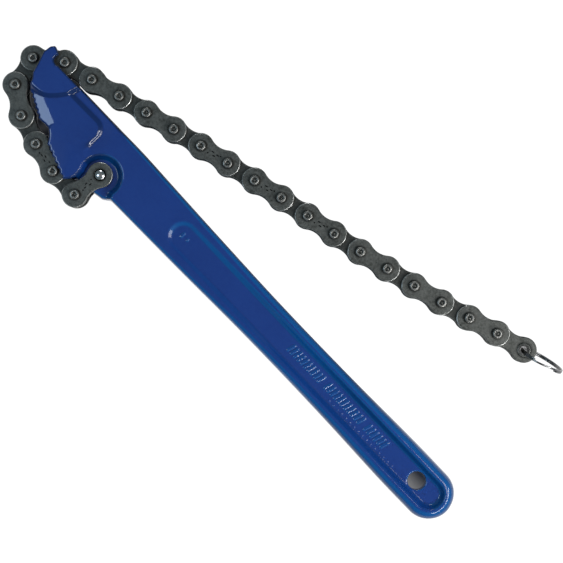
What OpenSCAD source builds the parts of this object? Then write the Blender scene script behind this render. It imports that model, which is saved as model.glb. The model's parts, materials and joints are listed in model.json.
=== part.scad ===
// Chain pipe wrench: a drop-forged handle with a forked, toothed head, a bush chain
// anchored by a steel pin, and a split ring on the chain's free end.
// Origin: centre of the hang hole. +X runs along the handle to the head, +Y is the
// toothed side, and z = 0 is the mid-plane of the tool.

/* [Chain] */
// Distance between neighbouring chain pins
pitch = 15.875; // [15.8:0.005:15.95]
// Radius of a link pin
pin_r = 2.54; // [2.5:0.01:2.56]
// Height of a link pin above the mid-plane
pin_top = 9.9; // [9.5:0.1:10.2]
// Radius of a link plate's round ends
plate_r = 6.5; // [6.3:0.05:6.6]
// Half the height of a link plate at its waist
waist_half = 4.5; // [4:0.1:5]
// Thickness of one link plate
plate_t = 1.9; // [1.7:0.1:2]
// Half the gap between the two inner plates
inner_gap_half = 3.2; // [3:0.1:3.3]
// Outer radius of a bush
bush_r = 3.55; // [3.4:0.05:3.8]

/* [Handle] */
// Half the width of the handle's round end
handle_end_r = 12.7; // [12.5:0.1:12.9]
// Half the handle's thickness at the hang hole
handle_half_t = 6.4; // [6:0.1:6.8]
// Radius of the hang hole
hang_hole_r = 4.55; // [4:0.05:4.8]
// Half the thickness of the web at the hang hole
web_half_t = 3.2; // [2.8:0.1:3.6]
// Half the width of the panel sunk in each face
recess_half_w = 6.8; // [6:0.1:7]

/* [Head] */
// Half the head's thickness at the neck
neck_half_t = 9.4; // [9.2:0.1:9.6]
// Half the head's thickness at the jaw
jaw_half_t = 10.6; // [10.4:0.1:10.8]
// Half the head's thickness at the tip
tip_half_t = 12; // [11.9:0.1:12.2]
// Half the width of the slot that the chain runs in
slot_half = 7.5; // [7.4:0.1:7.7]
// Depth of a jaw tooth
tooth_depth = 0.8; // [0.6:0.1:1.2]
// Teeth on the jaw nearer the tip
upper_teeth = 5; // [4:1:7]
// Teeth on the jaw nearer the handle
lower_teeth = 6; // [5:1:8]

/* [Anchor pin] */
// Radius of the pin that anchors the chain
anchor_r = 2.95; // [2.8:0.05:3.1]
// Height of the anchor pin's domed end
anchor_top = 7.8; // [7.4:0.1:8.4]

/* [Split ring] */
// Mean radius of the split ring
ring_r = 11.3; // [11:0.1:11.4]
// Width of the ring's two coils together
ring_w = 1.8; // [1.6:0.1:1.9]
// Radial thickness of the ring
ring_t = 1.1; // [0.9:0.1:1.2]
// Lean of the ring from upright
ring_lean = 10; // [8:1:11]

/* [Hidden] */
// Radial clearance of a running fit, and side clearance between moving plates
run_fit = 0.05;
side_gap = 0.1;
inner_top = inner_gap_half + plate_t;
outer_base = inner_top + side_gap;
round_fn = 64;
far = 60;

// The way each link points, in degrees from +X, from the anchored link to the free end
link_heading = [84, -1, -12, -16, -33, -78, -142, -166, -165, -165, -165, -165,
    -167, -166, -167, -168, -168, -168, -166, -166, -165, -163, -163, -165];
links = len(link_heading);
ring_heading = -163;
anchor = [219.4, 8.7];
function heading(k) = [cos(link_heading[k - 1]), sin(link_heading[k - 1])];
function pin_at(k) = k == 0 ? anchor : pin_at(k - 1) + pitch * heading(k);

outer_links = [for (k = [1 : 2 : links - 1]) k];
inner_links = [for (k = [2 : 2 : links]) k];
function two_digits(k) = str(k < 10 ? "0" : "", k);
function names(part, list) = [for (k = list) str(part, "_", two_digits(k))];

paint = [0.10, 0.19, 0.45];
chain_steel = [0.26, 0.27, 0.26];
pin_steel = [0.40, 0.40, 0.37];
bright_steel = [0.78, 0.78, 0.80];

function arc(c, r, from, to, steps) =
    [for (i = [0 : steps]) let (a = from + (to - from) * i / steps) c + r * [cos(a), sin(a)]];
// Saw teeth from a to b, with the body on the left-hand side of that way
function teeth(a, b, n) =
    let (step = (b - a) / n, inward = tooth_depth * [-step.y, step.x] / norm(step))
    [for (i = [0 : n - 1], j = [0, 1]) a + step * (i + 0.5 * j) + (j == 1 ? inward : [0, 0])];

// ---- forged body ----
handle_end_x = -8.7;
// One side of the handle, which narrows in the middle
handle_side = [[15, 12.7], [60, 11.7], [110, 11.6], [160, 12.7]];
tip_edge = [[273.6, -13.6], [276.4, -18.1], [278.1, -19.1], [280.6, -19.9], [282.1, -17.9], [282.6, -13.7],
    [280.4, -7.8], [278.8, -2.5], [276.8, -0.3], [275.6, 2.8]];
upper_jaw = [[272.8, 5.1], [260.9, 11.3]];
lower_jaw = [[248.3, 17.2], [230.6, 23.7]];
// The hollow between the two rows of teeth
jaw_step = [[258.3, 11.2], [255.8, 10.9], [253.6, 11.3], [251.6, 12.6], [250.2, 14.1], [249.1, 15.7]];
// The round boss around the anchor pin
boss_r = 9.1;
// The hook that a chain pin drops into, and its mouth
notch = [274.3, -16.05];
notch_r = 2.75;
notch_mouth = 3.6;
notch_reach = 8;

module body_outline() polygon(concat(
    arc([handle_end_x, 0], handle_end_r, 90, 270, 24),
    [for (p = handle_side) [p.x, -p.y]],
    [[206, -14], [272.3, -14]],
    tip_edge,
    teeth(upper_jaw[0], upper_jaw[1], upper_teeth),
    [upper_jaw[1]],
    jaw_step,
    teeth(lower_jaw[0], lower_jaw[1], lower_teeth),
    [lower_jaw[1], [228.4, 21.2], [227.3, 19.2], [224.5, 17.9]],
    arc(anchor, boss_r, 70, 114, 6),
    [[210.3, 16.1], [206.6, 13.4]],
    [for (i = [len(handle_side) - 1 : -1 : 0]) handle_side[i]]));

// The handle thickens from the hang hole to the neck
thin_to_x = 41;
thick_from_x = 201;
module side_profile() polygon([[-far, -handle_half_t], [thin_to_x, -handle_half_t],
    [thick_from_x, -neck_half_t], [thick_from_x + 2 * far, -neck_half_t],
    [thick_from_x + 2 * far, neck_half_t], [thick_from_x, neck_half_t],
    [thin_to_x, handle_half_t], [-far, handle_half_t]]);
module along_y() rotate([90, 0, 0]) linear_extrude(height = 2 * far, center = true) children();
module slab(half) linear_extrude(height = 2 * half, center = true) children();

jaw_pad = concat(arc([239.4, -3.4], 5.8, 180, 270, 6),
    [[263.4, -8.8], [277.4, -0.3], [277.4, 7.7], [247.4, 25.7], [228.4, 25.7], [233.6, 9.2]]);
tip_pad = [[256.4, -15.3], [257.7, -12], [258.8, -8], [261.8, -3.8], [264.8, -0.5], [267.2, 1.2],
    [270, 2.2], [273, 2.6], [286.4, 2.6], [286.4, -21.3], [256.4, -21.3]];
// The part of the head that is clear of solid metal between the two cheeks
slot_area = [[225, 18.4], [227.6, 17.6], [229.4, 15.6], [237.4, 13.2], [246.4, 8.7], [256.4, 3.7],
    [263.9, -0.3], [266.9, -5.3], [265.9, -10.3], [262.4, -14.3], [261.4, -25.3], [291.4, -25.3],
    [291.4, 29.7], [223.4, 29.7], [223.4, 18.4]];
// The pocket in each face that the anchored link lies in
pocket = [218.5, 8.7];
pocket_r = 9.6;
pocket_mouth = [[227.6, 8.7], [226.8, 13.7], [226.5, 18.2], [226.5, 29.7], [201.4, 29.7], [208.4, 13.3],
    [209, 10.7], [218.4, 8.7]];

module pad(outline, half) slab(half) intersection() {
    body_outline();
    polygon(outline);
}

// Slopes each jaw face down to the teeth
facet_at = [253.5, 6.1];
facet_turn = 160.5;
facet_slope = 5;
module jaw_facet() translate([facet_at.x, facet_at.y, jaw_half_t]) rotate([0, 0, facet_turn])
    rotate([facet_slope, 0, 0]) translate([-far, -far, 0]) cube([2 * far, far, far]);

// The sunk panel has round ends, and it is deep at the hang hole and shallow at the neck
recess_x = [-9.3, 169.7];
recess_floor = [[51, web_half_t], [181, 8.4]];
module recess() intersection() {
    linear_extrude(height = far) union() {
        for (x = recess_x) translate([x, 0]) circle(recess_half_w, $fn = round_fn);
        translate([recess_x[0], -recess_half_w])
            square([recess_x[1] - recess_x[0], 2 * recess_half_w]);
    }
    along_y() polygon([[-far, web_half_t], recess_floor[0], recess_floor[1],
        [recess_floor[1].x, far], [-far, far]]);
}

module both_faces() {
    children();
    mirror([0, 0, 1]) children();
}

module forged_body() color(paint) difference() {
    union() {
        difference() {
            union() {
                intersection() {
                    slab(far) body_outline();
                    along_y() side_profile();
                }
                pad(jaw_pad, jaw_half_t);
            }
            both_faces() jaw_facet();
        }
        pad(tip_pad, tip_half_t);
    }
    slab(slot_half) polygon(slot_area);
    translate([0, 0, -far]) linear_extrude(height = 2 * far) {
        translate(notch) circle(notch_r, $fn = round_fn);
        translate([notch.x - notch_reach, notch.y - notch_mouth / 2])
            square([notch_reach, notch_mouth]);
    }
    both_faces() {
        recess();
        translate([0, 0, inner_top]) linear_extrude(height = far) {
            translate(pocket) circle(pocket_r, $fn = round_fn);
            polygon(pocket_mouth);
        }
    }
    cylinder(r = hang_hole_r, h = 2 * far, center = true, $fn = round_fn);
    translate(anchor) cylinder(r = anchor_r, h = 2 * far, center = true, $fn = round_fn);
}

// Each end rises to a shallow dome, an arc through the rim and the crown
dome_h = 1;
dome_r = (pow(anchor_r, 2) + pow(dome_h, 2)) / (2 * dome_h);
dome_half_angle = asin(anchor_r / dome_r);
module anchor_pin() color(bright_steel) translate(anchor) rotate_extrude($fn = round_fn)
    polygon(concat(
        arc([0, dome_r - anchor_top], dome_r, 270, 270 + dome_half_angle, 8),
        arc([0, anchor_top - dome_r], dome_r, 90 - dome_half_angle, 90, 8)));

// ---- chain ----
// Waist arcs touch both round ends, and leave 2 * waist_half between them
waist_r = (pow(pitch / 2, 2) + pow(waist_half, 2) - pow(plate_r, 2)) / (2 * (plate_r - waist_half));
waist_y = waist_r + waist_half;
touch = plate_r * [pitch / 2, waist_y] / (plate_r + waist_r);

module plate_outline(first_hole_r, last_hole_r) difference() {
    union() {
        for (x = [0, pitch]) translate([x, 0]) circle(plate_r, $fn = round_fn);
        difference() {
            translate([touch.x, -touch.y]) square([pitch - 2 * touch.x, 2 * touch.y]);
            for (y = [-waist_y, waist_y])
                translate([pitch / 2, y]) circle(waist_r, $fn = round_fn);
        }
    }
    circle(first_hole_r, $fn = round_fn);
    translate([pitch, 0]) circle(last_hole_r, $fn = round_fn);
}

module on_link(k) translate(pin_at(k - 1)) rotate([0, 0, link_heading[k - 1]]) children();

module plate_pair(k, base, first_hole_r, last_hole_r) on_link(k) both_faces()
    translate([0, 0, base]) linear_extrude(height = plate_t) plate_outline(first_hole_r, last_hole_r);

module outer_plates(k) color(chain_steel)
    plate_pair(k, outer_base, k == 1 ? anchor_r + run_fit : pin_r, pin_r);
module inner_plates(k) color(chain_steel) plate_pair(k, inner_gap_half, bush_r, bush_r);

pin_chamfer = 0.5;
module link_pin() rotate_extrude($fn = round_fn) polygon([[0, -pin_top], [pin_r - pin_chamfer, -pin_top],
    [pin_r, pin_chamfer - pin_top], [pin_r, pin_top - pin_chamfer], [pin_r - pin_chamfer, pin_top],
    [0, pin_top]]);
// The first link hangs on the anchor pin, so it has only one pin of its own
module link_pins(k) color(pin_steel) on_link(k)
    for (x = k == 1 ? [pitch] : [0, pitch]) translate([x, 0, 0]) link_pin();

module bush() difference() {
    cylinder(r = bush_r, h = 2 * inner_top, center = true, $fn = round_fn);
    cylinder(r = pin_r + run_fit, h = 2 * far, center = true, $fn = round_fn);
}
module bushes(k) color(chain_steel) on_link(k) for (x = [0, pitch]) translate([x, 0, 0]) bush();

// The ring hangs in the last bush and stands nearly upright
ring_reach = 10.7;
module split_ring() color(bright_steel) translate(pin_at(links)) rotate([0, 0, ring_heading])
    rotate([90 + ring_lean, 0, 0]) translate([ring_reach, 0, 0])
        rotate_extrude($fn = round_fn) translate([ring_r - ring_t / 2, -ring_w / 2])
            square([ring_t, ring_w]);

forged_body();
anchor_pin();
split_ring();
for (k = outer_links) {
    outer_plates(k);
    link_pins(k);
}
for (k = inner_links) {
    inner_plates(k);
    bushes(k);
}
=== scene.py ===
"""Chain pipe wrench: the looks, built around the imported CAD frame.

Shapes are worked out in millimetres in the row frame, whose origin is the centre of the
hang hole, with +X towards the head, +Y the toothed side and z = 0 the mid-plane. They
turn into metres when a mesh is made.
"""

import json
import math

import bpy
import numpy as np
import openvdb
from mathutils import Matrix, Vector
from mathutils.geometry import tessellate_polygon


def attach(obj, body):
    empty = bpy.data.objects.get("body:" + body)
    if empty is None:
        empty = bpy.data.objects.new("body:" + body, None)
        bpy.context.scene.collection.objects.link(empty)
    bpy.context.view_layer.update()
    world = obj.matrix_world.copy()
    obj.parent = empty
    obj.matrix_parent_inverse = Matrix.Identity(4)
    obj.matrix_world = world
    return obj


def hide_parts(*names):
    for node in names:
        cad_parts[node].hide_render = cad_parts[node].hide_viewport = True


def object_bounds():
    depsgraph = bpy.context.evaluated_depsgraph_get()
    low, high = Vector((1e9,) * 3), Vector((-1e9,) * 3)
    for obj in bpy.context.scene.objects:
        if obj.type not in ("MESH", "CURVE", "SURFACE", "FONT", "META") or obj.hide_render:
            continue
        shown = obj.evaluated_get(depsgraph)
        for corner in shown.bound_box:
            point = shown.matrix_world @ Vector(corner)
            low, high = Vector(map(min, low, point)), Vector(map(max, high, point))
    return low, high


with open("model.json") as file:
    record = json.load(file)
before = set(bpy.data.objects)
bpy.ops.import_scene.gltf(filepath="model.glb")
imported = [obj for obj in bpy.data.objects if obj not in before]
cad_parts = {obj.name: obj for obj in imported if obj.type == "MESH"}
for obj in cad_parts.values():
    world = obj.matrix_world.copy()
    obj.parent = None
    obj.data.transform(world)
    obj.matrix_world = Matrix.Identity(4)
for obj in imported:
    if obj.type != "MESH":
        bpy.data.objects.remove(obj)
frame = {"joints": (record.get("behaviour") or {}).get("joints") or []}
cad_box = [list(corner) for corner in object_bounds()]

MM = 0.001

# ---- the chain's places, from the frame's joints ----
hinges = {joint["child"]: joint for joint in frame["joints"]}
LINKS = len(hinges) - 1


def link_body(k):
    return f"link_{k:02d}"


pins = [1000 * np.array(hinges[link_body(k)]["pos_m"][:2]) for k in range(1, LINKS + 1)]
pins.append(1000 * np.array(hinges["ring"]["pos_m"][:2]))
PITCH = float(np.linalg.norm(pins[1] - pins[0]))
ANCHOR = pins[0]

# ---- sizes shared with the CAD, in millimetres ----
PIN_R = 2.54
PLATE_R, WAIST_HALF, PLATE_T = 6.5, 4.5, 1.9
INNER_GAP_HALF, BUSH_R = 3.2, 3.55
INNER_TOP = INNER_GAP_HALF + PLATE_T
OUTER_BASE = INNER_TOP + 0.1
RUN_FIT = 0.05
ANCHOR_R, ANCHOR_TOP, DOME_H = 2.95, 7.8, 1.0
RING_R, RING_W, RING_T = 11.3, 1.8, 1.1
RING_HEADING, RING_LEAN, RING_REACH = -163, 10, 10.7
HANDLE_END = np.array([-8.7, 0.0])
HANDLE_R, HANDLE_HALF_T, HOLE_R, WEB_HALF_T = 12.7, 6.4, 4.55, 3.2
NECK_HALF_T, JAW_HALF_T, TIP_HALF_T, SLOT_HALF = 9.4, 10.6, 12.0, 7.5
TOOTH_DEPTH = 0.8
NOTCH, NOTCH_R, NOTCH_MOUTH, NOTCH_REACH = np.array([274.3, -16.05]), 2.75, 3.6, 8.0


# ---- curves ----
def arc(centre, radius, start, end, steps):
    """Points along an arc, angles in degrees."""
    angles = np.radians(np.linspace(start, end, steps + 1))
    return np.column_stack([centre[0] + radius * np.cos(angles), centre[1] + radius * np.sin(angles)])


def spline(points, steps):
    """A smooth curve through all the points, with that many steps between neighbours."""
    p = np.array(points, float)
    p = np.vstack([2 * p[0] - p[1], p, 2 * p[-1] - p[-2]])
    out = []
    for a, b, c, d in zip(p[:-3], p[1:-2], p[2:-1], p[3:]):
        for t in np.arange(steps) / steps:
            out.append(0.5 * (2 * b + (c - a) * t + (2 * a - 5 * b + 4 * c - d) * t ** 2
                              + (3 * b - a - 3 * c + d) * t ** 3))
    return np.array(out + [p[-2]])


def teeth(a, b, count):
    """Saw teeth from a to b, with the body on the left-hand side of that way."""
    a, b = np.array(a, float), np.array(b, float)
    step = (b - a) / count
    inward = TOOTH_DEPTH * np.array([-step[1], step[0]]) / np.linalg.norm(step)
    return np.array([a + step * (i + 0.5 * j) + inward * j for i in range(count) for j in (0, 1)])


# ---- fields: distances are negative inside ----
def polygon_field(x, y, corners):
    """Signed distance to a closed polygon."""
    best = np.full(x.shape, 1e9, np.float32)
    inside = np.zeros(x.shape, bool)
    for (ax, ay), (bx, by) in zip(corners, np.roll(corners, -1, axis=0)):
        ex, ey = bx - ax, by - ay
        t = np.clip(((x - ax) * ex + (y - ay) * ey) / (ex * ex + ey * ey), 0, 1)
        best = np.minimum(best, (x - ax - t * ex) ** 2 + (y - ay - t * ey) ** 2)
        crosses = (ay > y) != (by > y)
        if ey:
            inside ^= crosses & (x < ax + ex * (y - ay) / ey)
    distance = np.sqrt(best)
    return np.where(inside, -distance, distance)


def capsule_field(x, y, a, b, radius):
    """Signed distance to the round-ended bar between two points."""
    ex, ey = b[0] - a[0], b[1] - a[1]
    t = np.clip(((x - a[0]) * ex + (y - a[1]) * ey) / max(ex * ex + ey * ey, 1e-9), 0, 1)
    return np.hypot(x - a[0] - t * ex, y - a[1] - t * ey) - radius


def soft_min(a, b, blend):
    h = np.clip(blend - np.abs(a - b), 0, None) / blend
    return np.minimum(a, b) - h * h * blend / 4


def soft_max(a, b, blend):
    return -soft_min(-a, -b, blend)


def round_edge(a, b, radius):
    """The part inside both a and b, with the edge between them rounded to a radius."""
    u, v = a + radius, b + radius
    return np.minimum(np.maximum(u, v), 0) + np.hypot(np.maximum(u, 0), np.maximum(v, 0)) - radius


def ramp(t, blend=0.35):
    """0 below t = 0 and 1 above t = 1, straight between them, with its two bends rounded."""
    return soft_max(soft_min(t, np.ones_like(t), blend), np.zeros_like(t), blend)


# ---- the forged body, seen square to its flat faces ----
UPPER_JAW = ([272.8, 5.1], [260.9, 11.3])
LOWER_JAW = ([248.3, 17.2], [230.6, 23.7])
JAW_STEP = [[258.3, 11.2], [255.8, 10.9], [253.6, 11.3], [251.6, 12.6], [250.2, 14.1], [249.1, 15.7]]
TIP_EDGE = [[273.6, -13.6], [276.4, -18.1], [278.1, -19.1], [280.6, -19.9], [282.1, -17.9],
            [282.6, -13.7], [280.4, -7.8], [278.8, -2.5], [276.8, -0.3], [275.6, 2.8]]
BOSS_R = 9.1
HANDLE_SIDE = np.array([[15, 12.7], [60, 11.7], [110, 11.6], [160, 12.7]])
MIRRORED = np.array([1, -1])
BODY_OUTLINE = np.vstack([
    arc(HANDLE_END, HANDLE_R, 90, 270, 48)[:-1],
    spline([[HANDLE_END[0], -HANDLE_R], *(HANDLE_SIDE * MIRRORED), [206, -14], [230, -14]], 8),
    [[272.3, -14]],
    TIP_EDGE,
    teeth(*UPPER_JAW, 5),
    [UPPER_JAW[1]],
    spline(JAW_STEP, 4),
    teeth(*LOWER_JAW, 6),
    spline([LOWER_JAW[1], [228.4, 21.2], [227.3, 19.2], [224.5, 17.9]], 4),
    arc(ANCHOR, BOSS_R, 70, 114, 12),
    [[210.3, 16.1]],
    spline([[206.6, 13.4], *HANDLE_SIDE[::-1], [HANDLE_END[0], HANDLE_R]], 8)[:-1]])
JAW_PAD = np.vstack([
    arc([239.4, -3.4], 5.8, 180, 270, 12),
    [[263.4, -8.8], [277.4, -0.3], [277.4, 7.7], [247.4, 25.7], [228.4, 25.7], [233.6, 9.2]]])
TIP_PAD = np.array([[256.4, -15.3], [257.7, -12], [258.8, -8], [261.8, -3.8], [264.8, -0.5],
                    [267.2, 1.2], [270, 2.2], [273, 2.6], [286.4, 2.6], [286.4, -21.3],
                    [256.4, -21.3]])
SLOT_AREA = np.array([[225, 18.4], [227.6, 17.6], [229.4, 15.6], [237.4, 13.2], [246.4, 8.7],
                      [256.4, 3.7], [263.9, -0.3], [266.9, -5.3], [265.9, -10.3], [262.4, -14.3],
                      [261.4, -25.3], [291.4, -25.3], [291.4, 29.7], [223.4, 29.7], [223.4, 18.4]])
POCKET, POCKET_R = np.array([218.5, 8.7]), 9.6
POCKET_MOUTH = np.array([[227.6, 8.7], [226.8, 13.7], [226.5, 18.2], [226.5, 29.7], [201.4, 29.7],
                         [208.4, 13.3], [209, 10.7], [218.4, 8.7]])
FACET_AT, FACET_TURN = np.array([253.5, 6.1]), math.radians(160.5)
RECESS_FROM, RECESS_TO = np.array([-9.0, 0.0]), np.array([168.3, 0.0])
RECESS_R, RECESS_WALL = 7.9, 2.4
THIN_TO_X, THICK_FROM_X = 41, 201
RECESS_DEEP_TO_X, RECESS_SHALLOW_FROM_X, RECESS_SHALLOW_HALF_T = 51, 181, 8.4

# ---- the forging's own touches, in millimetres, which the CAD leaves out ----
SLIMMER, NOTCH_TIGHTER = 0.2, 0.45
PAD_GROOVE, TIP_WALL, POCKET_WALL = 0.35, 1.8, 2.0
PAD_WALL, PAD_WALL_SPREAD = 2.1, 7
FACET_FROM_X, FACET_OVER = 252.8, 1.2
FACET_SLOPES = math.tan(math.radians(3.5)), math.tan(math.radians(5.5))
MARK_H, MARK_WALL = 0.5, 0.8
EDGE_AT_HANDLE, EDGE_LOST_BY_NECK, EDGE_LOST_BY_HEAD = 4.8, 3.4, 0.6
DRAFT, DRAFT_FROM_Z = 0.045, 6
FLASH_HALF, FLASH_H = 0.7, 0.14


def raised_marks():
    """Generic raised marks in the handle's panel, each (from, to, radius): groups of even slanted
    bars, a row of studs beside them, and a dash and a stud at the neck's end."""
    pitch, lean, half, middle = 2.4, 0.55, 1.9, -0.6
    marks = []
    at = 24.0
    for bars_in_group in (6, 11, 10):
        for _ in range(bars_in_group):
            marks.append(((at - lean, middle - half), (at + lean, middle + half), 0.35))
            at += pitch
        at += pitch
    for i in range(16):
        stud = (14 + 3 * i, 4.2)
        marks.append((stud, stud, 0.2))
    return marks + [((169.2, -1.6), (169.2, 0.5), 0.3), ((165.7, -0.8), (165.7, -0.2), 0.3)]


def plan(x, y):
    """Every outline, height and radius of the body at (x, y)."""
    outline = polygon_field(x, y, BODY_OUTLINE) + SLIMMER * ramp(-y / 4) * ramp((215 - x) / 20)
    mouth_x, mouth_half = NOTCH[0] - NOTCH_REACH / 2, NOTCH_MOUTH / 2
    mouth = np.maximum(np.abs(y - NOTCH[1]) - mouth_half, np.abs(x - mouth_x) - NOTCH_REACH / 2)
    notch = np.minimum(np.hypot(x - NOTCH[0], y - NOTCH[1]) - NOTCH_R, mouth)
    outline = soft_max(outline, -notch - NOTCH_TIGHTER, 0.5)

    thickening = ramp((x - THIN_TO_X) / (THICK_FROM_X - THIN_TO_X), 0.2)
    base = HANDLE_HALF_T + (NECK_HALF_T - HANDLE_HALF_T) * thickening
    jaw_pad = polygon_field(x, y, JAW_PAD)
    fading = ramp((y - 2) / 5)
    low = base - PAD_GROOVE * ramp((6 - jaw_pad) / 5) * (1 - fading)
    wall = PAD_WALL + PAD_WALL_SPREAD * fading
    height = low + (JAW_HALF_T - low) * ramp(0.5 - jaw_pad / wall)
    beyond = (y - FACET_AT[1]) * -math.cos(FACET_TURN) + (x - FACET_AT[0]) * math.sin(FACET_TURN)
    slope = FACET_SLOPES[0] + FACET_SLOPES[1] * ramp((x - FACET_FROM_X) / FACET_OVER)
    facet = np.where(beyond > -0.6, JAW_HALF_T + 0.1 - slope * beyond, TIP_HALF_T + 1)
    height = soft_min(height, facet, 0.25)
    height = height + (TIP_HALF_T - height) * ramp(0.5 - polygon_field(x, y, TIP_PAD) / TIP_WALL)

    panel = capsule_field(x, y, RECESS_FROM, RECESS_TO, RECESS_R)
    rising = ramp((x - RECESS_DEEP_TO_X) / (RECESS_SHALLOW_FROM_X - RECESS_DEEP_TO_X), 0.15)
    floor = WEB_HALF_T + (RECESS_SHALLOW_HALF_T - WEB_HALF_T) * rising
    height = height - (base - floor) * ramp(-panel / RECESS_WALL, 0.3)
    marks = np.full(x.shape, 9.0)
    for start, end, radius in raised_marks():
        marks = np.minimum(marks, capsule_field(x, y, start, end, radius))
    height = height + MARK_H * ramp(0.5 - marks / MARK_WALL)

    pocket = np.minimum(np.hypot(x - POCKET[0], y - POCKET[1]) - POCKET_R,
                        polygon_field(x, y, POCKET_MOUTH))
    height = height - (height - INNER_TOP) * ramp(0.6 - pocket / POCKET_WALL, 0.3)

    edge = (EDGE_AT_HANDLE - EDGE_LOST_BY_NECK * ramp(x / 200)
            - EDGE_LOST_BY_HEAD * ramp((x - 215) / 15))
    return {"outline": outline, "height": height, "slot": polygon_field(x, y, SLOT_AREA),
            "hole": np.hypot(x, y) - HOLE_R,
            "anchor": np.hypot(x - ANCHOR[0], y - ANCHOR[1]) - ANCHOR_R, "edge": edge}


def body_field(p, z):
    """The whole body: negative inside the metal."""
    z = np.abs(z)
    side = p["outline"] + DRAFT * (z - DRAFT_FROM_Z) - FLASH_H * ramp(1.5 - z / FLASH_HALF)
    body = round_edge(side, z - p["height"], p["edge"])
    slot = round_edge(p["slot"], z - SLOT_HALF, 0.6)
    body = soft_max(body, -slot, 0.7)
    body = soft_max(body, -p["hole"], 0.9)
    return soft_max(body, -p["anchor"], 0.3)


def sample(grids, at, low, step):
    """Values of grids at points, by linear interpolation."""
    where = (at - low) / step
    cell = np.clip(np.floor(where).astype(int), 0, np.array(grids[0].shape) - 2)
    part = np.clip(where - cell, 0, 1)
    out = [np.zeros(len(at)) for _ in grids]
    for corner in np.ndindex(2, 2, 2):
        weight = np.prod(np.where(corner, part, 1 - part), axis=1)
        index = tuple((cell + corner).T)
        for total, grid in zip(out, grids):
            total += weight * grid[index]
    return np.column_stack(out)


# ---- meshes ----
def make_object(name, points, faces, material):
    mesh = bpy.data.meshes.new(name)
    mesh.from_pydata((np.asarray(points) * MM).tolist(), [], [list(map(int, f)) for f in faces])
    mesh.validate()
    mesh.materials.append(material)
    obj = bpy.data.objects.new(name, mesh)
    bpy.context.scene.collection.objects.link(obj)
    return obj


def set_attribute(mesh, name, values):
    mesh.attributes.new(name, "FLOAT", "POINT").data.foreach_set("value", np.asarray(values, np.float32))


def shade(obj, angle=38):
    """Smooth shading, with the edges over that angle kept sharp and flat faces kept flat."""
    obj.data.shade_smooth()
    obj.data.set_sharp_from_angle(angle=math.radians(angle))
    weighted = obj.modifiers.new("flat_faces", "WEIGHTED_NORMAL")
    weighted.keep_sharp = True
    return obj


def forge(name, material, step=0.4):
    """The body's mesh: its field's zero surface, evened out, with the field's own normals."""
    low = np.array([-22.0, -21.0, -13.2])
    high = np.array([285.0, 26.4, 13.2])
    counts = np.ceil((high - low) / step).astype(int) + 1
    axes = [low[i] + step * np.arange(counts[i]) for i in range(3)]
    x, y = np.meshgrid(axes[0], axes[1], indexing="ij")
    flat = {key: np.asarray(value)[:, :, None].astype(np.float32) for key, value in plan(x, y).items()}
    field = body_field(flat, axes[2][None, None, :].astype(np.float32)).astype(np.float32)
    slopes = np.gradient(field, step)
    bend = sum(np.gradient(s / np.sqrt(sum(g * g for g in slopes) + 1e-6), step, axis=i)
               for i, s in enumerate(slopes))

    grid = openvdb.FloatGrid(background=3 * step)
    grid.copyFromArray(np.clip(field, -3 * step, 3 * step))
    points, triangles, quads = grid.convertToPolygons(isovalue=0.0, adaptivity=0.0)
    points = low + step * np.array(points, float)
    for _ in range(2):
        values = sample([field, *slopes], points, low, step)
        size = np.maximum((values[:, 1:] ** 2).sum(axis=1), 0.2)
        points -= np.clip(values[:, :1] / size[:, None], -0.2, 0.2) * values[:, 1:]
    faces = [*np.array(triangles), *np.array(quads)]

    dense = make_object(name, points, faces, material)
    thin = dense.modifiers.new("thin", "DECIMATE")
    thin.ratio = 0.42
    evaluated = dense.evaluated_get(bpy.context.evaluated_depsgraph_get())
    mesh = bpy.data.meshes.new_from_object(evaluated)
    dense.modifiers.clear()
    dense.data = mesh
    points = np.zeros(3 * len(mesh.vertices), np.float32)
    mesh.vertices.foreach_get("co", points)
    values = sample([bend, *slopes], points.reshape(-1, 3) / MM, low, step)
    mesh.shade_smooth()
    mesh.normals_split_custom_set_from_vertices(
        values[:, 1:] / np.maximum(np.linalg.norm(values[:, 1:], axis=1, keepdims=True), 1e-6))
    # The bend, kept as edge: the paint darkens where it is below 0, as painted shade in corners.
    set_attribute(mesh, "edge", np.clip(values[:, 0] / 1.2, -1, 1))
    return dense


def lathe(profile, segments):
    """Points and faces of a profile of (radius, height) turned round z; radius 0 closes an end."""
    points, rings = [], []
    for radius, height in profile:
        if radius == 0:
            rings.append([len(points)] * segments)
            points.append((0, 0, height))
            continue
        rings.append(list(range(len(points), len(points) + segments)))
        points += [(radius * math.cos(a), radius * math.sin(a), height)
                   for a in np.linspace(0, 2 * math.pi, segments, endpoint=False)]
    faces = []
    for one, two in zip(rings[:-1], rings[1:]):
        for i in range(segments):
            j = (i + 1) % segments
            corners = [one[i], one[j], two[j], two[i]]
            face = [c for n, c in enumerate(corners) if c != corners[n - 1]]
            faces.append(face)
    return np.array(points, float), faces


def joined(parts):
    """Several (points, faces) as one."""
    points, faces, start = [], [], 0
    for p, f in parts:
        points.append(p)
        faces += [[c + start for c in face] for face in f]
        start += len(p)
    return np.vstack(points), faces


def upside_down(part):
    """A part's mirror image in the mid-plane."""
    points, faces = part
    return points * np.array([1, 1, -1]), [face[::-1] for face in faces]


def on_link(points, k):
    """Moves points from a link's own place, its first pin at the origin, to link k."""
    ahead = (pins[k] - pins[k - 1]) / np.linalg.norm(pins[k] - pins[k - 1])
    x, y, z = np.asarray(points).T
    return np.column_stack([pins[k - 1][0] + x * ahead[0] - y * ahead[1],
                            pins[k - 1][1] + x * ahead[1] + y * ahead[0], z])


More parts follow.
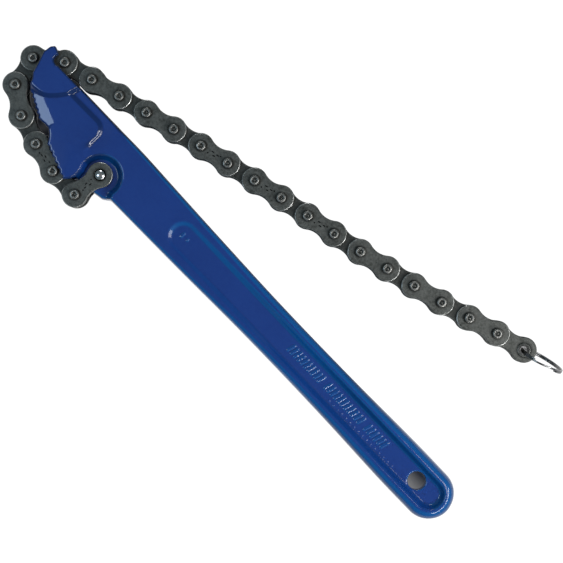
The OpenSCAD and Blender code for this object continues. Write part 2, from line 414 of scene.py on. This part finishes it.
# ---- chain plates ----
def plate_loop(inset):
    """The outline of a link plate, moved in by inset: two round ends and two waist arcs."""
    waist_r = ((PITCH / 2) ** 2 + WAIST_HALF ** 2 - PLATE_R ** 2) / (2 * (PLATE_R - WAIST_HALF))
    waist_y = waist_r + WAIST_HALF
    touch = math.degrees(math.atan2(waist_y, PITCH / 2))
    near = arc([0, 0], PLATE_R - inset, touch, 360 - touch, 28)
    below = arc([PITCH / 2, -waist_y], waist_r + inset, 180 - touch, touch, 10)
    far = arc([PITCH, 0], PLATE_R - inset, touch - 180, 180 - touch, 28)
    above = arc([PITCH / 2, waist_y], waist_r + inset, -touch, touch - 180, 10)
    return np.vstack([near[:-1], below[:-1], far[:-1], above[:-1]])


def stamped_marks():
    """Generic marks punched in the middle of some plates: dots and dashes."""
    dot = [arc([x, y], 0.42, 0, 360, 10)[:-1] for x, y in ((4.7, -0.9), (11.2, 0.9))]
    dash = [np.vstack([arc([x + 0.5, y], 0.3, -90, 90, 5), arc([x - 0.5, y], 0.3, 90, 270, 5)])
            for x, y in ((6.6, 0.8), (8.0, -0.7), (9.6, 0.5))]
    return dot + dash


def plate(first_hole_r, last_hole_r, marked, plate_shade):
    """One link plate lying on z = 0: rolled upper edge, eased lower edge, two holes.

    Its edge values are 1 where the rim is rubbed bright and down to -1 where shade is painted: on the
    lower edge, round the holes' lips and in the punched marks; an inner plate has painted shade all
    over, and a rim that is less rubbed."""
    roll, ease, sink, chamfer, pin_shade_w = 0.6, 0.2, 0.28, 0.18, 1.1
    loops = [(ease, 0.0), (0.06, 0.06), (0.0, ease)]
    loops += [(roll * (1 - math.cos(a)), PLATE_T - roll * (1 - math.sin(a)))
              for a in np.radians([0, 22.5, 45, 67.5, 90])]
    points, faces, worn_and_shaded = [], [], []

    def add_loop(flat, height, wear_and_shade=-plate_shade):
        start = len(points)
        points.extend((px, py, height) for px, py in flat)
        worn_and_shaded.extend([wear_and_shade] * len(flat))
        return list(range(start, start + len(flat)))

    def bridge(lower, upper):
        for i in range(len(lower)):
            j = (i + 1) % len(lower)
            faces.append([lower[i], lower[j], upper[j], upper[i]])

    def fill(loops_of_indices, up):
        flat = [[Vector((points[i][0], points[i][1], 0)) for i in loop] for loop in loops_of_indices]
        order = [i for loop in loops_of_indices for i in loop]
        for a, b, c in tessellate_polygon(flat):
            one, two, three = (np.array(points[order[i]][:2]) for i in (a, b, c))
            turn = np.cross(two - one, three - one)
            face = [order[a], order[b], order[c]]
            faces.append(face if (turn > 0) == up else face[::-1])

    # Painted shade on the lower edge, the rolled rim rubbed bright, and the top taking the plate's
    # painted shade.
    wear_and_shade = [-0.5, -0.2, 0.0, 0.3, 0.8, 1.0, 1.0, -plate_shade]
    outer = [add_loop(plate_loop(inset), height, w) for (inset, height), w in zip(loops, wear_and_shade)]
    if plate_shade == 0:
        ends = ramp((np.abs(np.array(points)[:, 0] - PITCH / 2) - PITCH / 2) / 3)
        worn_and_shaded = [w * (0.5 + 0.5 * float(end)) if w > 0 else w for w, end in zip(worn_and_shaded, ends)]
    else:
        worn_and_shaded = [0.4 * w if w > 0 else w for w in worn_and_shaded]
    for lower, upper in zip(outer[:-1], outer[1:]):
        bridge(lower, upper)
    tops, bottoms = [outer[-1]], [outer[0]]
    for x, radius in ((0, first_hole_r), (PITCH, last_hole_r)):
        bore, lip, pin_shade_rim = (arc([x, 0], radius + extra, 0, 360, 32)[:-1]
                             for extra in (0.0, chamfer, pin_shade_w))
        # Painted shade on each hole's lip, fading out a little further from the hole.
        rings = [add_loop(bore, 0.0), add_loop(bore, PLATE_T - chamfer),
                 add_loop(lip, PLATE_T, -0.6), add_loop(pin_shade_rim, PLATE_T)]
        for lower, upper in zip(rings[:-1], rings[1:]):
            bridge(upper, lower)
        tops.append(rings[-1])
        bottoms.append(rings[0])
    for outline in stamped_marks() if marked else []:
        centre = outline.mean(axis=0)
        rim = add_loop(outline, PLATE_T)
        # The punched marks' beds are painted dark, as shade in them.
        bed = add_loop(centre + 0.8 * (outline - centre), PLATE_T - sink, -1.0)
        bridge(rim, bed)
        fill([bed], True)
        tops.append(rim)
    fill(tops, True)
    fill(bottoms, False)
    return (np.array(points, float), faces), worn_and_shaded


def plate_pair(name, k, base, hole_radii, marked, plate_shade, material):
    """The two plates of link k, one on each side."""
    (points, faces), worn_and_shaded = plate(*hole_radii, marked, plate_shade)
    upper = (points + [0, 0, base], faces)
    points, faces = joined([upper, upside_down(upper)])
    obj = make_object(name, on_link(points, k), faces, material)
    set_attribute(obj.data, "edge", worn_and_shaded + worn_and_shaded)
    return shade(obj)


# ---- turned parts ----
def link_pin():
    """A pin with peened ends: a rounded rim, a flat ring, and a dimple with a nub in it."""
    end = [(0, 9.62), (0.3, 9.58), (0.55, 9.36), (0.85, 9.34), (1.12, 9.6), (1.3, 9.86), (1.45, 9.9),
           (1.9, 9.88), (2.2, 9.78), (2.42, 9.56), (PIN_R, 9.2), (PIN_R, 7.0)]
    return lathe(end + [(r, -z) for r, z in reversed(end)], 36)


def bush():
    """A bush: a tube with eased ends."""
    inner, top, ease = PIN_R + RUN_FIT, INNER_TOP, 0.15
    half = [(inner, top - 2 * ease), (inner + ease, top), (BUSH_R - ease, top), (BUSH_R, top - ease)]
    ring = half + [(r, -z) for r, z in reversed(half)]
    return lathe(ring + ring[:1], 36)


def turned_pair(name, k, part, places, material):
    """A turned part at each of the places along link k, its ends' sunk middles marked for painted shade.
    """
    points, faces = part
    out = np.hypot(points[:, 0], points[:, 1])
    worn_and_shaded = np.where(out < 1.2, -1.0, np.where(np.abs(points[:, 2]) > 9.7, 1.0, 0.0))
    points, faces = joined([(points + [x, 0, 0], faces) for x in places])
    obj = make_object(name, on_link(points, k), faces, material)
    set_attribute(obj.data, "edge", np.tile(worn_and_shaded, len(places)))
    return shade(obj, 50)


def anchor_pin(name, material):
    """The anchor pin: a dome over an eased shoulder at each end."""
    dome_r = (ANCHOR_R ** 2 + DOME_H ** 2) / (2 * DOME_H)
    rise = math.degrees(math.asin(ANCHOR_R / dome_r))
    dome = [(dome_r * math.sin(a), ANCHOR_TOP - dome_r * (1 - math.cos(a)))
            for a in np.radians(np.linspace(0, rise - 3, 12))]
    end = dome + [(ANCHOR_R - 0.06, dome[-1][1] - 0.16), (ANCHOR_R, dome[-1][1] - 0.4)]
    points, faces = lathe(end + [(r, -z) for r, z in reversed(end)], 64)
    obj = make_object(name, points + [*ANCHOR, 0], faces, material)
    # Painted shade on the dome's outer rim, where it sits in the plate's hole.
    set_attribute(obj.data, "edge", np.where(np.hypot(points[:, 0], points[:, 1]) > 2.5, -1.0, 0.0))
    return shade(obj, 50)


# ---- split ring ----
def split_ring(name, material):
    """Flat wire wound for nearly two turns, stepping across once from one coil to the other."""
    thick, wide, ease = RING_T / 2, RING_W / 4 - 0.01, 0.16
    section = [(thick - ease, -wide), (thick, -wide + ease), (thick, wide - ease),
               (thick - ease, wide), (ease - thick, wide), (-thick, wide - ease),
               (-thick, ease - wide), (ease - thick, -wide)]
    turns, first_turn, steps = 1.84, 0.31, 200
    crossing_from, crossing_over = 0.86, 0.14
    dullness = 0.6
    heading, lean = math.radians(RING_HEADING), math.radians(90 + RING_LEAN)
    points, faces = [], []
    for i in range(steps + 1):
        turn = turns * i / steps
        across = -RING_W / 4 + RING_W / 2 * float(ramp(np.array((turn - crossing_from) / crossing_over)))
        angle = 2 * math.pi * (turn + first_turn)
        taper = 0.55 + 0.45 * min(1, min(i, steps - i) / 3)
        for radial, axial in section:
            r = RING_R + taper * radial
            x, y, z = RING_REACH + r * math.cos(angle), r * math.sin(angle), across + taper * axial
            y, z = y * math.cos(lean) - z * math.sin(lean), y * math.sin(lean) + z * math.cos(lean)
            points.append((pins[LINKS][0] + x * math.cos(heading) - y * math.sin(heading),
                           pins[LINKS][1] + x * math.sin(heading) + y * math.cos(heading), z))
    n = len(section)
    for i in range(steps):
        for j in range(n):
            k = (j + 1) % n
            faces.append([i * n + j, i * n + k, (i + 1) * n + k, (i + 1) * n + j])
    faces += [list(range(n))[::-1], [steps * n + j for j in range(n)]]
    obj = make_object(name, points, faces, material)
    set_attribute(obj.data, "edge", [-dullness] * len(points))
    return shade(obj, 50)


# ---- materials ----
class Nodes:
    """A material's node tree, written one line per node."""

    def __init__(self, name):
        self.material = bpy.data.materials.new(name)
        self.material.use_nodes = True
        self.tree = self.material.node_tree
        self.shader = self.tree.nodes["Principled BSDF"]
        self.place = self.add("ShaderNodeTexCoord").outputs["Object"]

    def add(self, kind, **settings):
        node = self.tree.nodes.new(kind)
        for key, value in settings.items():
            setattr(node, key, value)
        return node

    def feed(self, socket, source):
        if isinstance(source, bpy.types.NodeSocket):
            self.tree.links.new(source, socket)
        else:
            socket.default_value = source

    def noise(self, size_mm, detail=3.0, roughness=0.5, stretch=None):
        """Noise of about that grain size."""
        place = self.place
        if stretch:
            mapping = self.add("ShaderNodeMapping")
            mapping.inputs["Scale"].default_value = stretch
            self.feed(mapping.inputs["Vector"], self.place)
            place = mapping.outputs["Vector"]
        node = self.add("ShaderNodeTexNoise")
        self.feed(node.inputs["Vector"], place)
        node.inputs["Scale"].default_value = 1 / (size_mm * MM)
        node.inputs["Detail"].default_value = detail
        node.inputs["Roughness"].default_value = roughness
        return node.outputs["Fac"]

    def spread(self, value, low, high, to_low=0.0, to_high=1.0):
        """Maps low..high to to_low..to_high, clamped."""
        node = self.add("ShaderNodeMapRange")
        self.feed(node.inputs["Value"], value)
        limits = {"From Min": low, "From Max": high, "To Min": to_low, "To Max": to_high}
        for key, number in limits.items():
            node.inputs[key].default_value = number
        return node.outputs["Result"]

    def math(self, operation, a, b=0.0):
        node = self.add("ShaderNodeMath", operation=operation)
        self.feed(node.inputs[0], a)
        self.feed(node.inputs[1], b)
        return node.outputs["Value"]

    def mix(self, factor, a, b):
        node = self.add("ShaderNodeMix", data_type="RGBA")
        self.feed(node.inputs["Factor"], factor)
        self.feed(node.inputs["A"], a if isinstance(a, bpy.types.NodeSocket) else (*a, 1))
        self.feed(node.inputs["B"], b if isinstance(b, bpy.types.NodeSocket) else (*b, 1))
        return node.outputs["Result"]

    def edge(self):
        return self.add("ShaderNodeAttribute", attribute_name="edge").outputs["Fac"]

    def bump(self, *layers):
        """Stacked bumps, each (height, depth in mm)."""
        normal = None
        for height, depth in layers:
            node = self.add("ShaderNodeBump")
            node.inputs["Distance"].default_value = depth * MM
            self.feed(node.inputs["Height"], height)
            if normal:
                self.feed(node.inputs["Normal"], normal)
            normal = node.outputs["Normal"]
        return normal

    def finish(self, **sockets):
        for key, value in sockets.items():
            self.feed(self.shader.inputs[key.replace("_", " ")], value)
        return self.material


def blue_paint():
    """Glossy enamel over a forging: uneven in depth; a painted sheen, greener, on the handle's slopes
    and on the boss's side; painted shade, darker, on the head's walls, on steep sides and in corners."""
    m = Nodes("blue_paint")
    cloud = m.spread(m.noise(22, 4), 0.35, 0.65)
    grain = m.spread(m.noise(1.6, 4, 0.6), 0.3, 0.7)
    colour = m.mix(cloud, (0.0045, 0.043, 0.250), (0.0062, 0.050, 0.278))
    colour = m.mix(m.math("MULTIPLY", grain, 0.25), colour, (0.009, 0.066, 0.32))
    facing, where = m.add("ShaderNodeSeparateXYZ"), m.add("ShaderNodeSeparateXYZ")
    m.feed(facing.inputs["Vector"], m.add("ShaderNodeTexCoord").outputs["Normal"])
    m.feed(where.inputs["Vector"], m.place)
    flatness = m.math("ABSOLUTE", facing.outputs["Z"])
    inward = m.math("MULTIPLY", m.spread(where.outputs["Y"], 0.003, 0.004, 0, 0.85),
                    m.spread(facing.outputs["Y"], -0.02, -0.12))
    sloped = m.math("SUBTRACT", m.spread(flatness, 0.999, 0.93), inward)
    # Painted sheen: the handle's slopes and the boss's side are turned greener.
    boss_side = m.math("MULTIPLY", m.spread(where.outputs["Y"], 0.0145, 0.018),
                       m.spread(where.outputs["X"], 0.222, 0.217))
    sheen_on_slopes = m.math("MULTIPLY", sloped, m.spread(where.outputs["X"], 0.228, 0.222))
    colour = m.mix(m.spread(m.math("MAXIMUM", sheen_on_slopes, boss_side), 0, 1), colour, (0.001, 0.105, 0.37))
    # Painted shade: the head's walls are made darker.
    shaded = m.math("MULTIPLY", sloped, m.spread(where.outputs["X"], 0.222, 0.228, 0, 0.8))
    colour = m.mix(m.spread(shaded, 0, 1), colour, (0.002, 0.022, 0.12))
    # Painted shade: steep sides are darker, less so on the middle of the handle.
    plain = m.math("MINIMUM", m.spread(where.outputs["X"], 0.05, 0.08),
                   m.spread(where.outputs["X"], 0.2, 0.19))
    steep = m.math("MULTIPLY", m.spread(flatness, 0.86, 0.6, 0, 0.5), m.math("SUBTRACT", 1.0, inward))
    steep = m.math("MULTIPLY", steep, m.math("SUBTRACT", 1.0, plain))
    colour = m.mix(steep, colour, (0.001, 0.03, 0.12))
    # Painted shade in corners, where the surface bends inwards.
    corner_shade = m.spread(m.edge(), -0.15, -0.9)
    colour = m.mix(m.math("MULTIPLY", corner_shade, 0.5), colour, (0.002, 0.008, 0.05))
    normal = m.bump((m.noise(14, 2), 0.16), (m.noise(2.6, 3, 0.4), 0.025), (m.noise(0.7, 2), 0.004))
    return m.finish(Base_Color=colour, Roughness=m.spread(grain, 0, 1, 0.30, 0.42), Normal=normal,
                    Specular_IOR_Level=0.15, Coat_Weight=1.0, Coat_Roughness=0.05, Coat_Normal=normal)


def chain_steel():
    """Black oxide over blanked plate: mottled, grained, rubbed bright on its rims, painted dark as
    shade where its edge value is low."""
    m = Nodes("chain_steel")
    cloud = m.spread(m.noise(6, 5, 0.65), 0.32, 0.68)
    speck = m.spread(m.noise(1.1, 4, 0.7), 0.36, 0.66)
    colour = m.mix(cloud, (0.055, 0.058, 0.052), (0.125, 0.127, 0.118))
    colour = m.mix(m.math("MULTIPLY", speck, 0.55), colour, (0.23, 0.233, 0.22))
    uneven = m.spread(m.noise(2.5, 4), 0.4, 0.6, 0.3, 1)
    rubbed = m.math("MULTIPLY", m.spread(m.edge(), 0.3, 1.0), uneven)
    colour = m.mix(m.math("MULTIPLY", rubbed, 0.9), colour, (0.72, 0.72, 0.70))
    # Painted shade where the edge value is below 0.
    colour = m.mix(m.spread(m.edge(), 0, -1), colour, (0.010, 0.010, 0.010))
    rough = m.math("SUBTRACT", m.spread(speck, 0, 1, 0.42, 0.58), m.math("MULTIPLY", rubbed, 0.25))
    scratch = m.noise(0.35, 2, 0.5, (1, 0.12, 1))
    normal = m.bump((m.noise(3.5, 3), 0.10), (m.noise(0.9, 4, 0.6), 0.05), (scratch, 0.008))
    return m.finish(Base_Color=colour, Metallic=0.85, Roughness=rough, Normal=normal)


def pin_steel():
    """Peened pin ends: a rubbed ring round a dimple painted dark as shade, oiled dark in patches."""
    m = Nodes("pin_steel")
    oil = m.spread(m.noise(1.8, 4, 0.6), 0.38, 0.62)
    colour = m.mix(oil, (0.28, 0.275, 0.255), (0.15, 0.15, 0.14))
    colour = m.mix(m.math("MULTIPLY", m.spread(m.edge(), 0.2, 1.0), 0.4), colour, (0.36, 0.355, 0.34))
    # Painted shade in the dimples.
    colour = m.mix(m.math("MULTIPLY", m.spread(m.edge(), -0.1, -0.9), 0.75), colour, (0.03, 0.03, 0.028))
    normal = m.bump((m.noise(0.8, 4, 0.6), 0.02), (m.noise(0.22, 2), 0.004))
    rough = m.spread(oil, 0, 1, 0.34, 0.46)
    return m.finish(Base_Color=colour, Metallic=1.0, Roughness=rough, Normal=normal)


def bright_steel():
    """Bright zinc plate with fine wire-drawing marks and faint clouding, duller where its edge
    value is low: painted shade round the anchor pin's dome, and a duller ring all over."""
    m = Nodes("bright_steel")
    cloud = m.spread(m.noise(3.0, 4), 0.3, 0.7)
    colour = m.mix(cloud, (0.58, 0.58, 0.60), (0.70, 0.70, 0.70))
    # Painted shade round the anchor pin's dome; the ring is darker all over.
    colour = m.mix(m.spread(m.edge(), -0.1, -0.9), colour, (0.02, 0.02, 0.02))
    normal = m.bump((m.noise(2.0, 2), 0.02), (m.noise(0.3, 3, 0.6), 0.004))
    rough = m.spread(cloud, 0, 1, 0.16, 0.26)
    return m.finish(Base_Color=colour, Metallic=1.0, Roughness=rough, Normal=normal)


paint, plates, pin_ends, bright = blue_paint(), chain_steel(), pin_steel(), bright_steel()


# ---- pieces ----
def place(piece, body, node, slot):
    """Puts a piece on the body that it moves with and hides the CAD node it stands for; slot is not
    used.
    """
    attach(piece, body)
    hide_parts(node)


place(forge("painted_body", paint), "body", "forged_body", "blue_paint")
place(anchor_pin("domed_anchor_pin", bright), "body", "anchor_pin", "bright_steel")
MARKED_LINKS = (1, 3, 13, 15, 17)
# Painted shade all over the inner plates, the last one only a little.
INNER_PLATE_SHADE, LAST_PLATE_SHADE = 0.45, 0.05
for k in range(1, LINKS + 1):
    number = f"{k:02d}"
    if k % 2:
        holes = (ANCHOR_R + RUN_FIT if k == 1 else PIN_R, PIN_R)
        marked = k in MARKED_LINKS
        pair = plate_pair(f"outer_pair_{number}", k, OUTER_BASE, holes, marked, 0, plates)
        place(pair, link_body(k), f"outer_plates_{number}", "chain_steel")
        at = [PITCH] if k == 1 else [0, PITCH]
        ends = turned_pair(f"peened_pins_{number}", k, link_pin(), at, pin_ends)
        place(ends, link_body(k), f"link_pins_{number}", "pin_steel")
    else:
        plate_shade = INNER_PLATE_SHADE if k < LINKS else LAST_PLATE_SHADE
        holes = (BUSH_R, BUSH_R)
        pair = plate_pair(f"inner_pair_{number}", k, INNER_GAP_HALF, holes, False, plate_shade, plates)
        place(pair, link_body(k), f"inner_plates_{number}", "chain_steel")
        tubes = turned_pair(f"bush_pair_{number}", k, bush(), [0, PITCH], plates)
        place(tubes, link_body(k), f"bushes_{number}", "chain_steel")
place(split_ring("two_turn_ring", bright), "ring", "split_ring", "bright_steel")


# ---- stage ----
CAMERA_OVER, CAMERA_HIGH, CAMERA_ROLL = (0.11856, -0.02002), 1.0, -133.735
FLOOR_Z = cad_box[0][2] - 0.0002
# Painted shadow on the floor, in metres: between the jaws and the chain, and beside the hook
JAW_GAPS = ((0.2725, 0.0065), (0.2655, 0.0115), (0.2585, 0.0145), (0.2525, 0.0165), (0.2285, 0.0205))
HOOK_GAP = (0.2635, -0.0145)


def make_floor():
    """White paper to the camera, in shade where it is seen through the hang hole and the last
    bush, between the jaws and the chain, and beside the hook; in reflections a white card on the
    toothed side and round the handle's end, and dark felt elsewhere."""
    size = 4.0
    mesh = bpy.data.meshes.new("floor")
    mesh.from_pydata([(-size, -size, FLOOR_Z), (size, -size, FLOOR_Z), (size, size, FLOOR_Z),
                      (-size, size, FLOOR_Z)], [], [(0, 1, 2, 3)])
    floor = bpy.data.objects.new("floor", mesh)
    bpy.context.scene.collection.objects.link(floor)
    m = Nodes("floor")
    along = m.add("ShaderNodeSeparateXYZ")
    m.feed(along.inputs["Vector"], m.place)

    def near(x, y, radius, soft):
        """1 further than radius from (x, y), 0 closer than radius - soft, all in metres."""
        gap = m.add("ShaderNodeVectorMath", operation="DISTANCE")
        m.feed(gap.inputs[0], m.place)
        gap.inputs[1].default_value = (x, y, FLOOR_Z)
        return m.spread(gap.outputs["Value"], radius - soft, radius)

    hole_shade = m.spread(along.outputs["Y"], -0.003, 0.006, 0.012, 0.20)
    by_hole = m.math("MAXIMUM", near(-0.0015, 0.0003, 0.0105, 0.003), hole_shade)
    paper = by_hole
    for x, y in JAW_GAPS:
        paper = m.math("MULTIPLY", paper, m.math("MAXIMUM", near(x, y, 0.0065, 0.0025), 0.02))
    # Below the last bush and beside the hook the painted shadow shows only while the chain covers it
    last_x, last_y = 1.0125 * pins[LINKS] * MM - 0.0125 * np.array(CAMERA_OVER)
    open_air = m.add("ShaderNodeAmbientOcclusion")
    open_air.inputs["Distance"].default_value = 0.02
    covered = m.spread(open_air.outputs["AO"], 0.6, 0.95, 0.02, 1)
    for x, y, radius in ((last_x, last_y, 0.0042), (*HOOK_GAP, 0.0035)):
        paper = m.math("MULTIPLY", paper, m.math("MAXIMUM", near(x, y, radius, 0.001), covered))
    card = m.math("MAXIMUM", m.spread(along.outputs["Y"], -0.012, 0.0),
                  m.spread(along.outputs["X"], 0.06, 0.015))
    seen = m.add("ShaderNodeLightPath").outputs["Is Camera Ray"]
    glow = m.add("ShaderNodeMix", data_type="FLOAT")
    m.feed(glow.inputs["Factor"], seen)
    m.feed(glow.inputs["A"], m.math("MULTIPLY", m.spread(card, 0, 1, 0.04, 0.7), by_hole))
    m.feed(glow.inputs["B"], paper)
    mesh.materials.append(m.finish(
        Base_Color=(0.12, 0.12, 0.12, 1), Roughness=0.9, Emission_Color=(1, 1, 1, 1),
        Emission_Strength=glow.outputs["Result"]))


def softbox(name, towards, degrees_up, distance, size, radiance, colour=(1, 1, 1)):
    """A soft light that looks at the tool; towards is its compass direction in the row frame."""
    light = bpy.data.lights.new(name, "AREA")
    light.shape = "RECTANGLE"
    light.size, light.size_y = size
    light.energy = radiance * math.pi * size[0] * size[1]
    light.color = colour
    obj = bpy.data.objects.new(name, light)
    up, around = math.radians(degrees_up), math.radians(towards)
    aim = Vector((CAMERA_OVER[0], CAMERA_OVER[1], 0))
    away = Vector((math.cos(up) * math.cos(around), math.cos(up) * math.sin(around), math.sin(up)))
    obj.location = aim + distance * away
    obj.rotation_euler = (-away).to_track_quat("-Z", "Y").to_euler()
    obj.visible_camera = False
    bpy.context.scene.collection.objects.link(obj)


def make_world():
    """A dim room, a little lighter overhead and at the horizon, and plain white to the camera."""
    world = bpy.data.worlds.new("room")
    bpy.context.scene.world = world
    world.use_nodes = True
    tree = world.node_tree
    background = tree.nodes["Background"]
    place = tree.nodes.new("ShaderNodeTexCoord")
    split = tree.nodes.new("ShaderNodeSeparateXYZ")
    tree.links.new(place.outputs["Generated"], split.inputs["Vector"])
    height = tree.nodes.new("ShaderNodeValToRGB")
    tree.links.new(split.outputs["Z"], height.inputs["Fac"])
    stops = height.color_ramp.elements
    stops[0].position, stops[0].color = 0.0, (0.24, 0.27, 0.29, 1)
    stops[1].position, stops[1].color = 0.97, (0.17, 0.17, 0.175, 1)
    for position, colour in ((0.30, (0.10, 0.13, 0.14, 1)), (0.82, (0.10, 0.14, 0.15, 1))):
        stops.new(position).color = colour
    path = tree.nodes.new("ShaderNodeLightPath")
    seen = tree.nodes.new("ShaderNodeMix")
    seen.data_type = "RGBA"
    tree.links.new(path.outputs["Is Camera Ray"], seen.inputs["Factor"])
    tree.links.new(height.outputs["Color"], seen.inputs["A"])
    seen.inputs["B"].default_value = (1, 1, 1, 1)
    tree.links.new(seen.outputs["Result"], background.inputs["Color"])
    background.inputs["Strength"].default_value = 1.0


def make_camera():
    """A long lens straight above the tool, turned so that the chain runs down to the right."""
    data = bpy.data.cameras.new("camera")
    data.sensor_width = 36
    data.lens = 127.6
    camera = bpy.data.objects.new("camera", data)
    camera.location = (*CAMERA_OVER, CAMERA_HIGH)
    camera.rotation_euler = (0, 0, math.radians(CAMERA_ROLL))
    bpy.context.scene.collection.objects.link(camera)
    bpy.context.scene.camera = camera


make_floor()
make_world()
make_camera()
softbox("key", 46, 61, 1.2, (0.35, 0.35), 5.0, (0.64, 0.84, 1))
softbox("right_strip", 188, 38, 0.9, (1.1, 0.08), 16)
softbox("top_strip", -44, 34, 0.9, (0.3, 0.08), 9)
softbox("ring_fill", 212, 56, 0.58, (0.2, 0.2), 5.0)
bpy.context.scene.view_settings.view_transform = "Standard"
